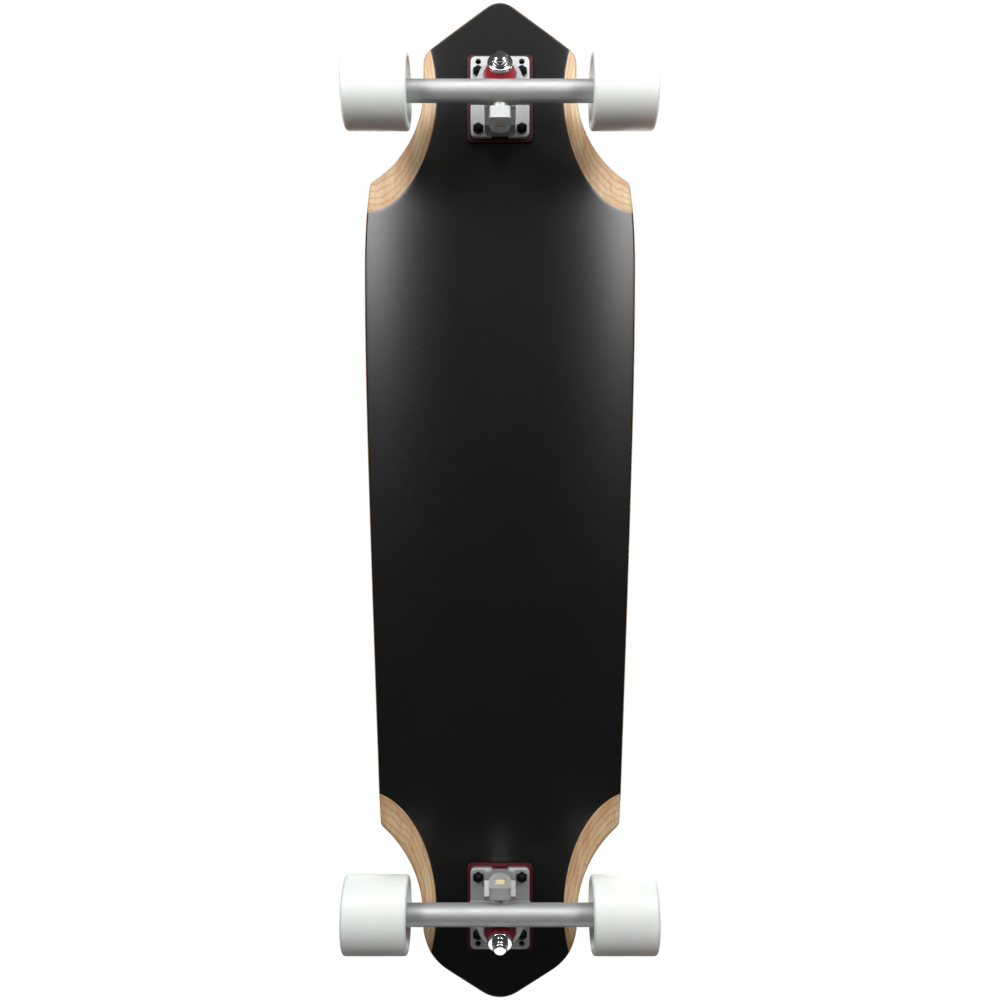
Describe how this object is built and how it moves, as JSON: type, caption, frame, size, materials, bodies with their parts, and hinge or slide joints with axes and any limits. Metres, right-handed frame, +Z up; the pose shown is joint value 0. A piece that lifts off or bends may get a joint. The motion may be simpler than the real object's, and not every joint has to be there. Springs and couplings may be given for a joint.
{
  "type": "longboard skateboard",
  "caption": "Top-mount cutaway longboard: curved maple deck with grip, sprung reverse-kingpin trucks and free-spinning urethane wheels.",
  "frame": {"origin": "on the floor under the middle of the deck, wheels standing at height 0", "axes": "+Z up through the deck, Y along the deck with the pointed nose at -Y, X across the board"},
  "size_m": [0.276, 0.95, 0.1314],
  "materials": {
    "maple": "clear maple plies, satin black paint on the underside",
    "grit": "black grip grit",
    "red_urethane": "cast red urethane",
    "cast_aluminium": "satin cast",
    "cream_nylon": "moulded",
    "zinc_steel": "bright zinc plate",
    "axle_steel": "turned",
    "black_steel": "black oxide",
    "bearing_steel": "ground",
    "white_urethane": "cast white urethane",
    "core_nylon": "moulded"
  },
  "bodies": {
    "board": {"deck": "maple", "grip_tape": "grit", "front_riser_pad": "red_urethane", "front_baseplate": "cast_aluminium", "front_pivot_cup": "cream_nylon", "front_kingpin": "zinc_steel", "front_kingpin_nut": "zinc_steel", "front_deck_side_washer": "zinc_steel", "front_road_side_washer": "zinc_steel", "front_deck_side_bushing": "red_urethane", "front_road_side_bushing": "red_urethane", "front_deck_bolts": "black_steel", "front_deck_nuts": "black_steel", "rear_riser_pad": "red_urethane", "rear_baseplate": "cast_aluminium", "rear_pivot_cup": "cream_nylon", "rear_kingpin": "zinc_steel", "rear_kingpin_nut": "zinc_steel", "rear_deck_side_washer": "zinc_steel", "rear_road_side_washer": "zinc_steel", "rear_deck_side_bushing": "red_urethane", "rear_road_side_bushing": "red_urethane", "rear_deck_bolts": "black_steel", "rear_deck_nuts": "black_steel"},
    "front_hanger_assembly": {"front_hanger": "cast_aluminium", "front_axle": "axle_steel", "front_speed_rings": "zinc_steel", "front_bearing_spacers": "zinc_steel", "front_axle_nuts": "zinc_steel", "front_bearing_inner_races": "bearing_steel"},
    "front_left_wheel": {"front_left_tyre": "white_urethane", "front_left_core": "core_nylon", "front_left_bearing_outer_races": "bearing_steel", "front_left_bearing_balls": "bearing_steel", "front_left_bearing_shields": "bearing_steel"},
    "front_right_wheel": {"front_right_tyre": "white_urethane", "front_right_core": "core_nylon", "front_right_bearing_outer_races": "bearing_steel", "front_right_bearing_balls": "bearing_steel", "front_right_bearing_shields": "bearing_steel"},
    "rear_hanger_assembly": {"rear_hanger": "cast_aluminium", "rear_axle": "axle_steel", "rear_speed_rings": "zinc_steel", "rear_bearing_spacers": "zinc_steel", "rear_axle_nuts": "zinc_steel", "rear_bearing_inner_races": "bearing_steel"},
    "rear_left_wheel": {"rear_left_tyre": "white_urethane", "rear_left_core": "core_nylon", "rear_left_bearing_outer_races": "bearing_steel", "rear_left_bearing_balls": "bearing_steel", "rear_left_bearing_shields": "bearing_steel"},
    "rear_right_wheel": {"rear_right_tyre": "white_urethane", "rear_right_core": "core_nylon", "rear_right_bearing_outer_races": "bearing_steel", "rear_right_bearing_balls": "bearing_steel", "rear_right_bearing_shields": "bearing_steel"}
  },
  "joints": [
    {"name": "front_steer", "type": "hinge", "parent": "board", "child": "front_hanger_assembly", "pos_m": [0, -0.38122, 0.05297], "axis": [0, -0.9063, 0.4226], "range_deg": [-15, 15], "stiffness_Nm_per_rad": 45, "deforming": ["front_deck_side_bushing", "front_road_side_bushing"]},
    {"name": "front_left_wheel_spin", "type": "hinge", "parent": "front_hanger_assembly", "child": "front_left_wheel", "pos_m": [0.1095, -0.36325, 0.034], "axis": [1, 0, 0], "continuous": true},
    {"name": "front_right_wheel_spin", "type": "hinge", "parent": "front_hanger_assembly", "child": "front_right_wheel", "pos_m": [-0.1095, -0.36325, 0.034], "axis": [1, 0, 0], "continuous": true},
    {"name": "rear_steer", "type": "hinge", "parent": "board", "child": "rear_hanger_assembly", "pos_m": [0, 0.38622, 0.05297], "axis": [0, 0.9063, 0.4226], "range_deg": [-15, 15], "stiffness_Nm_per_rad": 45, "deforming": ["rear_deck_side_bushing", "rear_road_side_bushing"]},
    {"name": "rear_left_wheel_spin", "type": "hinge", "parent": "rear_hanger_assembly", "child": "rear_left_wheel", "pos_m": [0.1095, 0.36825, 0.034], "axis": [1, 0, 0], "continuous": true},
    {"name": "rear_right_wheel_spin", "type": "hinge", "parent": "rear_hanger_assembly", "child": "rear_right_wheel", "pos_m": [-0.1095, 0.36825, 0.034], "axis": [1, 0, 0], "continuous": true}
  ]
}
